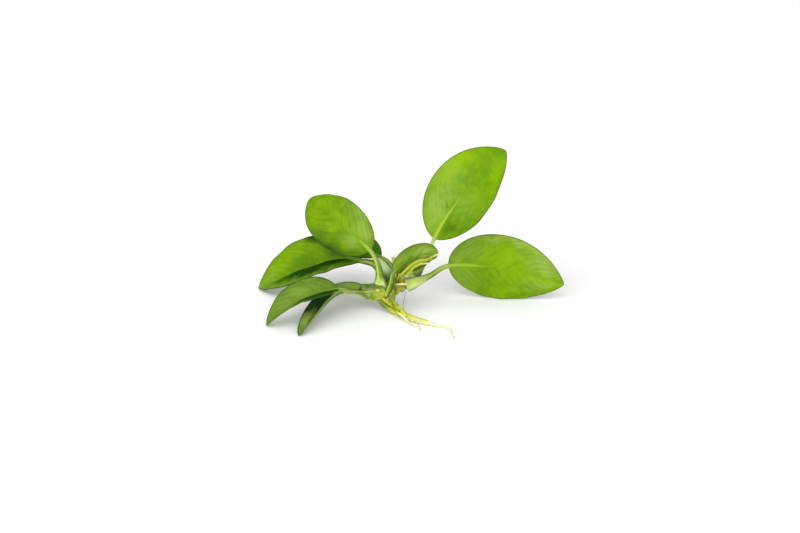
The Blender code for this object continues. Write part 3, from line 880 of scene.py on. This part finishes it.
def stalk_look(tree):
    """Pale where it clasps the rhizome, green in soft streaks above, with a painted highlight along one side
    of its upper face and painted shade along either edge, heavier on one side. The keel is as pale as the
    midrib that it shows as."""
    beside = held(tree, "beside")
    clasp = ramp(tree, held(tree, "clasp"), 0.3, 1.0, 0.9, 0.0)
    colour = blotches(tree, STALK_GREEN, STALK_YELLOW, size=1.6, low=0.35, high=0.65)
    colour = tint(tree, clasp, colour, CLASP_PALE)
    # Painted highlight along one side of the upper face.
    painted_highlight = ramp(tree, calc(tree, "ABSOLUTE", calc(tree, "ADD", beside, 0.4)), 0.1, 0.45, 0.75, 0.0)
    painted_highlight = times(tree, painted_highlight, ramp(tree, held(tree, "upper"), 0.0, 0.4))
    colour = tint(tree, painted_highlight, colour, STALK_PAINTED_HIGHLIGHT)
    # Painted shade along either edge, heavier on the side where beside is near 1.
    colour = tint(tree, ramp(tree, beside, 0.35, 0.95, 0.0, 0.6), colour, STALK_PAINTED_SHADE)
    colour = tint(tree, ramp(tree, beside, -0.97, -0.8, 0.5, 0.0), colour, STALK_PAINTED_SHADE)
    colour = tint(tree, held(tree, "pale"), colour, STALK_PALE_YELLOW)
    keel = tint(tree, held(tree, "rib"), KEEL_GREEN, MIDRIB_PALE)
    colour = tint(tree, held(tree, "keel"), colour, keel)
    roughness = uneven_roughness(tree, 1.5, 0.3, 0.45)
    return colour, roughness, grain(tree, cloud(tree, 0.5, 3.0), 0.03)


stalk_finish = living_surface("stalk_flesh", stalk_look, see_through=0.15, gloss=0.35)
for number, (leaf_name, leaf) in enumerate(LEAVES.items()):
    _, rib, _ = MIDRIBS[leaf_name]
    grid = stalk_grid(leaf, *STALKS[leaf_name], rib, STALK_SEED + number)
    make_piece(leaf_name + "_petiole", [grid], stalk_finish, [leaf_name + "_stalk"])


# The pale sheath and the new shoot: a papery membrane that stood round the shoot and now gapes open, and
# the next leaf, still rolled up in a yellow spike behind the young leaf.
SHEATH = {
    "stalk": [],
    "blade": [(-9.5, -3.0, 16.5), (-13.3, -3.0, 22.2), (-17.2, -2.0, 26.8)],
    "width": 7.2,
    "facing": (0.4, -0.85, 0.35),
    "fold": 0.0,
    "tip_fold": 1.0,
    "curl": -70.0,
    "twist": 0.0,
    "swell": 0.2,
    "narrow": 0.6,
}
SHEATH_LINES = 7.0
SHEATH_SEED = 90
SHEATH_PALE = (0.92, 0.96, 0.7)
SHEATH_GREEN = (0.42, 0.57, 0.16)
SHEATH_DARK = (0.07, 0.15, 0.02)
SHOOT_LINE = [(-8.4, -1.2, 14.6), (-7.8, 1.0, 19.5), (-8.9, 1.8, 25.9)]
SHOOT_RADII = [1.1, 1.3, 0.9]
SHOOT_ROWS = 60
SHOOT_SIDES = 48
ROLL_TURN = 0.25
ROLL_STEP = 0.12
SHOOT_YELLOW = (0.52, 0.6, 0.08)


def sheath_look(tree):
    """Whitish green, greener along fine lengthwise lines and dark towards its base."""
    across = held(tree, "across")
    lines = calc(tree, "PINGPONG", times(tree, across, SHEATH_LINES), 0.5)
    lines = ramp(tree, lines, 0.1, 0.5)
    colour = tint(tree, lines, SHEATH_GREEN, SHEATH_PALE)
    base = calc(tree, "ADD", held(tree, "along"), times(tree, across, 0.15))
    colour = tint(tree, ramp(tree, base, 0.05, 0.5, 0.85, 0.0), colour, SHEATH_DARK)
    return colour, uneven_roughness(tree, 2.0, 0.35, 0.55), grain(tree, lines, 0.05)


def shoot_look(tree):
    """Yellow with a greener edge where the roll ends."""
    roll = ramp(tree, calc(tree, "ABSOLUTE", held(tree, "seam")), 0.0, 0.25, 0.7, 0.0)
    colour = tint(tree, roll, SHOOT_YELLOW, STALK_GREEN)
    return colour, uneven_roughness(tree, 2.0, 0.3, 0.45), grain(tree, cloud(tree, 0.6), 0.03)


def shoot_grid():
    """A tapering rod with the edge of its roll winding up it: the radius steps down behind the seam."""
    whole = smooth_line(SHOOT_LINE)
    want = np.linspace(0, arc_lengths(whole)[-1], SHOOT_ROWS)
    line = at_lengths(whole, whole, want)
    radii = at_lengths(whole, span_values(SHOOT_RADII), want)
    angle = np.linspace(0, 2 * np.pi, SHOOT_SIDES, endpoint=False)[None]
    seam = np.mod(angle - want[:, None] * ROLL_TURN + np.pi, 2 * np.pi) - np.pi
    step = 1 - ROLL_STEP * smooth_step(seam, 0.0, 0.2) * (1 - smooth_step(seam, 0.2, 2.5))
    return rod_grid(line, radii * step, SHOOT_SIDES, (0, -1, 0)), {"seam": seam}


sheath_finish = living_surface("sheath_membrane", sheath_look, see_through=0.4, gloss=0.3)
sheath = [blade_grid(SHEATH, SHEATH_SEED)]
make_piece("sheath_membrane", sheath, sheath_finish, ["pale_sheath"])
shoot_finish = living_surface("shoot_spike", shoot_look, see_through=0.2, gloss=0.35)
make_piece("shoot_spike", [shoot_grid()], shoot_finish, ["new_shoot"])


# The roots: fleshy cords from the underside of the rhizome, yellow near it and paler to their tips, some
# lying in a bundle along the floor and some standing up in front of the young leaf.
ROOTS = {
    "root_1": [
        (-15.5, -4.5, 7.2, 1.1),
        (-15.0, -6.5, 5.4, 1.2),
        (-12.7, -8.5, 3.7, 1.3),
        (-9.6, -10.5, 2.2, 1.3),
        (-6.5, -13.0, 1.6, 1.2),
        (-3.6, -15.5, 1.4, 1.2),
        (1.5, -20.0, 1.2, 1.1),
        (7.5, -24.5, 1.1, 0.9),
        (13.0, -28.0, 0.7, 0.5),
        (16.5, -29.0, 0.6, 0.5),
        (18.5, -31.0, 0.6, 0.5),
        (19.5, -35.5, 0.5, 0.4),
        (20.0, -40.5, 0.4, 0.2),
    ],
    "root_2": [
        (-9.5, -4.5, 12.0, 1.1),
        (-8.7, -8.8, 11.6, 1.1),
        (-8.8, -10.6, 9.0, 1.0),
        (-8.8, -11.5, 7.3, 1.0),
        (-7.3, -12.5, 5.7, 1.0),
        (-5.3, -14.5, 4.5, 0.9),
        (-3.7, -17.5, 3.2, 0.8),
        (-2.2, -19.3, 2.3, 0.4),
    ],
    "root_3": [
        (-9.0, -3.5, 14.0, 0.8),
        (-6.8, -8.9, 18.3, 0.8),
        (-4.0, -14.1, 23.3, 0.7),
        (-1.0, -15.5, 27.0, 0.7),
        (2.5, -16.5, 30.0, 0.7),
        (6.5, -16.5, 31.4, 0.7),
        (9.5, -16.0, 32.2, 0.6),
        (14.8, -15.0, 34.1, 0.3),
    ],
    "root_4": [
        (-6.4, -3.5, 14.2, 0.7),
        (-5.2, -9.5, 18.0, 0.7),
        (-3.2, -13.0, 21.5, 0.6),
        (-1.0, -15.5, 24.0, 0.6),
        (1.5, -17.5, 27.5, 0.5),
        (5.0, -18.0, 29.5, 0.5),
        (8.0, -17.5, 29.5, 0.4),
        (10.5, -16.5, 28.5, 0.3),
    ],
    "root_5": [
        (-8.2, -3.5, 12.5, 0.5),
        (-8.6, -6.8, 14.4, 0.5),
        (-5.0, -8.5, 15.4, 0.5),
        (-1.9, -8.8, 15.4, 0.4),
    ],
    "root_6": [
        (-8.9, -12.4, 4.2, 0.5),
        (-7.5, -15.3, 3.5, 0.6),
        (-4.5, -18.6, 2.5, 0.6),
        (-2.3, -21.5, 1.2, 0.5),
        (-0.6, -24.8, 0.7, 0.4),
        (1.2, -28.5, 0.5, 0.3),
    ],
}
ROOT_SIDES = 24
ROOT_ROWS_PER_MM = 3.0
ROOT_TAPER = 0.8
ROOT_LUMPS = (0.1, 1.8)
ROOT_BUMPS = (0.06, 0.8)
ROOT_FACING = (0.2, 0.3, 1)
ROOT_SEED = 110
ROOT_GREEN = (0.16, 0.25, 0.005)
ROOT_YELLOW = (0.66, 0.71, 0.04)
ROOT_PALE = (0.93, 0.88, 0.57)
# Where each root turns yellow, in millimetres from the rhizome, how yellow it gets, and where it turns
# pale, as shares of its length.
ROOT_SHADES = {
    "root_1": (5.0, 13.0, 1.0, 0.15, 0.85),
    "root_2": (6.0, 18.0, 1.0, 0.9, 1.1),
    "root_3": (2.0, 14.0, 0.66, 0.85, 1.0),
    "root_4": (2.0, 14.0, 0.62, 0.75, 1.0),
    "root_5": (1.0, 4.0, 1.0, 0.2, 0.8),
    "root_6": (1.0, 6.0, 1.0, 0.15, 0.5),
}


def root_grid(points, seed, yellow_from, yellow_to, yellow, pale_from, pale_to):
    """A rod with an uneven radius, closed to a blunt point over its last stretch."""
    points = np.array(points)
    whole = smooth_line(points[:, :3])
    length = arc_lengths(whole)[-1]
    want = np.linspace(0, length, int(length * ROOT_ROWS_PER_MM) + 8)
    line = at_lengths(whole, whole, want)
    radii = at_lengths(whole, span_values(points[:, 3]), want)[:, 0]
    radii = radii * np.sqrt(np.clip((length - want) / ROOT_TAPER, 0.02, 1))
    grid = rod_grid(line, radii, ROOT_SIDES, ROOT_FACING)
    outward = grid - line[:, None]
    uneven = ROOT_LUMPS[0] * wander(grid, ROOT_LUMPS[1], seed)
    uneven = uneven + ROOT_BUMPS[0] * wander(grid, ROOT_BUMPS[1], seed + 1)
    grid = grid + outward * uneven[..., None]
    pale = smooth_step(want / length, pale_from, pale_to)
    yellow = yellow * smooth_step(want, yellow_from, yellow_to)
    return grid, {"pale": pale[:, None], "yellow": yellow[:, None]}


def root_look(tree):
    """Green-yellow at the rhizome, yellow along its length and pale at the tip, blotched a little."""
    colour = tint(tree, held(tree, "yellow"), ROOT_GREEN, ROOT_YELLOW)
    colour = blotches(tree, colour, ROOT_GREEN, size=2.4, low=0.5, high=0.72, most=0.5)
    spared = ramp(tree, cloud(tree, 1.8, 3.0), 0.35, 0.65, 1.0, 0.75)
    colour = tint(tree, times(tree, held(tree, "pale"), spared), colour, ROOT_PALE)
    return colour, uneven_roughness(tree, 1.0, 0.3, 0.5), grain(tree, cloud(tree, 0.4, 3.0), 0.05)


root_finish = living_surface("root_flesh", root_look, see_through=0.3, gloss=0.35)
for number, (root_name, points) in enumerate(ROOTS.items()):
    grid = root_grid(points, ROOT_SEED + 3 * number, *ROOT_SHADES[root_name])
    make_piece(root_name + "_cord", [grid], root_finish, [root_name])


# Thin strands among the roots: root hairs and side rootlets, too fine to be parts of their own. Some are
# old and brown, the ones on the floor are pale, and one hangs straight down from the rhizome.
STRAND_SEED = 150
STRAND_SHADES = {
    "brown": (0.13, 0.18, 0.006),
    "gold": (0.34, 0.37, 0.015),
    "green": (0.34, 0.42, 0.02),
    "yellow": (0.62, 0.67, 0.04),
    "pale": (0.84, 0.81, 0.4),
    "grey": (0.3, 0.3, 0.2),
}
# Each strand's radius and the points that it runs through.
STRANDS = {
    "brown": [
        (0.4, [(-7.2, -8.5, 18.6), (-6.0, -12.0, 23.3), (-3.0, -14.0, 26.7), (0.9, -16.0, 29.8),
               (9.2, -17.0, 33.1)]),
        (0.35, [(-6.2, -9.0, 17.7), (-4.3, -13.0, 21.8), (-1.6, -15.0, 25.4), (1.9, -16.6, 28.6),
                (5.8, -17.0, 30.1)]),
        (0.4, [(-9.0, -9.6, 20.6), (-8.2, -10.2, 18.6), (-8.4, -10.2, 15.4), (-9.4, -9.4, 12.0)]),
    ],
    "gold": [
        (0.6, [(-8.8, -9.3, 13.4), (-9.9, -10.9, 9.5), (-10.2, -11.6, 6.8), (-8.6, -12.6, 4.6)]),
        (0.4, [(-9.6, -9.2, 12.4), (-10.9, -10.4, 9.0), (-11.4, -10.9, 6.4)]),
    ],
    "green": [
        (0.5, [(-6.9, -9.6, 18.4), (-4.9, -13.4, 22.3), (-2.0, -15.2, 25.7), (1.8, -16.5, 29.0),
               (6.0, -16.9, 30.6)]),
        (0.4, [(-5.2, -11.0, 19.6), (-2.6, -14.0, 23.2), (1.0, -16.6, 27.6), (5.4, -17.3, 30.4),
               (10.6, -16.4, 31.4)]),
    ],
    "yellow": [
        (0.75, [(-14.0, -6.8, 7.0), (-11.5, -9.3, 5.8), (-8.5, -11.5, 4.6), (-5.4, -13.8, 3.7),
                (-3.0, -15.8, 2.8)]),
        (0.6, [(-5.3, -14.0, 3.9), (-2.0, -16.4, 2.6), (1.4, -19.0, 1.9), (4.9, -21.5, 1.7),
               (8.3, -24.0, 1.5)]),
    ],
    "pale": [
        (0.45, [(-4.0, -17.9, 1.6), (-1.0, -19.9, 0.9), (2.4, -22.6, 0.8), (5.8, -24.5, 0.8),
                (8.3, -26.2, 0.7)]),
        (0.3, [(-2.0, -19.8, 1.0), (-0.6, -23.5, 0.5), (1.6, -28.0, 0.3)]),
        (0.25, [(1.9, -21.4, 0.8), (3.8, -27.0, 0.4), (4.6, -33.0, 0.3)]),
        (0.2, [(19.8, -38.5, 0.5), (21.0, -43.0, 0.3)]),
    ],
    "grey": [(0.16, [(-2.8, -7.5, 11.3), (-3.3, -10.0, 8.5), (-3.8, -13.0, 5.9), (-3.6, -15.4, 3.4)])],
}


def strand_look(shade):
    """One dull colour, darkened a little in blotches."""
    dark = tuple(0.5 * part for part in shade)

    def build(tree):
        colour = blotches(tree, shade, dark, size=1.5, low=0.5, high=0.7, most=0.6)
        return colour, uneven_roughness(tree, 1.0, 0.35, 0.5), grain(tree, cloud(tree, 0.4, 2.0), 0.03)

    return build


for number, (shade_name, strands) in enumerate(STRANDS.items()):
    look = strand_look(STRAND_SHADES[shade_name])
    finish = living_surface("strand_" + shade_name, look, see_through=0.3, coat=0.1, gloss=0.3)
    grids = []
    for radius, line in strands:
        points = [(*place, radius) for place in line]
        grids.append(root_grid(points, STRAND_SEED + number, 0.0, 1.0, 1.0, 0.0, 1.0))
    make_piece("strands_" + shade_name, grids, finish)


# The stage: a plain white floor under one broad soft lamp and an even white surround, seen from a little
# above through a long lens.
FLOOR_SIZE = 12.0
FLOOR_WHITE = 0.85
FLOOR_ROUGHNESS = 0.9
SURROUND = 0.8
LAMP_STRENGTH = 3.4
LAMP_SPREAD = 100.0
LAMP_FROM = (-0.3, -1.0, 0.45)
AIM = Vector((-0.0055, -0.0025, 0.0225))
CAMERA_DISTANCE = 0.944
CAMERA_RISE = 20.0
CAMERA_LENS = 85.0
CAMERA_SENSOR = 36.0

floor_mesh = bpy.data.meshes.new("floor")
reach = FLOOR_SIZE / 2
corners = [(-reach, -reach, 0), (reach, -reach, 0), (reach, reach, 0), (-reach, reach, 0)]
floor_mesh.from_pydata(corners, [], [(0, 1, 2, 3)])
floor = bpy.data.objects.new("floor", floor_mesh)
bpy.context.scene.collection.objects.link(floor)
floor_finish = bpy.data.materials.new("floor_white")
floor_finish.use_nodes = True
floor_shader = floor_finish.node_tree.nodes["Principled BSDF"]
floor_shader.inputs["Base Color"].default_value = (FLOOR_WHITE, FLOOR_WHITE, FLOOR_WHITE, 1)
floor_shader.inputs["Roughness"].default_value = FLOOR_ROUGHNESS
floor_shader.inputs["Specular IOR Level"].default_value = 0.0
floor_mesh.materials.append(floor_finish)

surround = bpy.data.worlds.new("surround")
surround.use_nodes = True
surround.node_tree.nodes["Background"].inputs["Color"].default_value = (1, 1, 1, 1)
surround.node_tree.nodes["Background"].inputs["Strength"].default_value = SURROUND
bpy.context.scene.world = surround

lamp = bpy.data.lights.new("soft_lamp", "SUN")
lamp.energy = LAMP_STRENGTH
lamp.angle = np.radians(LAMP_SPREAD)
lamp_object = bpy.data.objects.new("soft_lamp", lamp)
lamp_object.rotation_mode = "QUATERNION"
lamp_object.rotation_quaternion = Vector(LAMP_FROM).to_track_quat("Z", "Y")
bpy.context.scene.collection.objects.link(lamp_object)

rise = np.radians(CAMERA_RISE)
back = Vector((0.0, -np.cos(rise), np.sin(rise)))
camera = bpy.data.cameras.new("camera")
camera.lens = CAMERA_LENS
camera.sensor_width = CAMERA_SENSOR
camera_object = bpy.data.objects.new("camera", camera)
camera_object.location = AIM + back * CAMERA_DISTANCE
camera_object.rotation_mode = "QUATERNION"
camera_object.rotation_quaternion = back.to_track_quat("Z", "Y")
bpy.context.scene.collection.objects.link(camera_object)
bpy.context.scene.camera = camera_object
bpy.context.scene.view_settings.view_transform = "Standard"
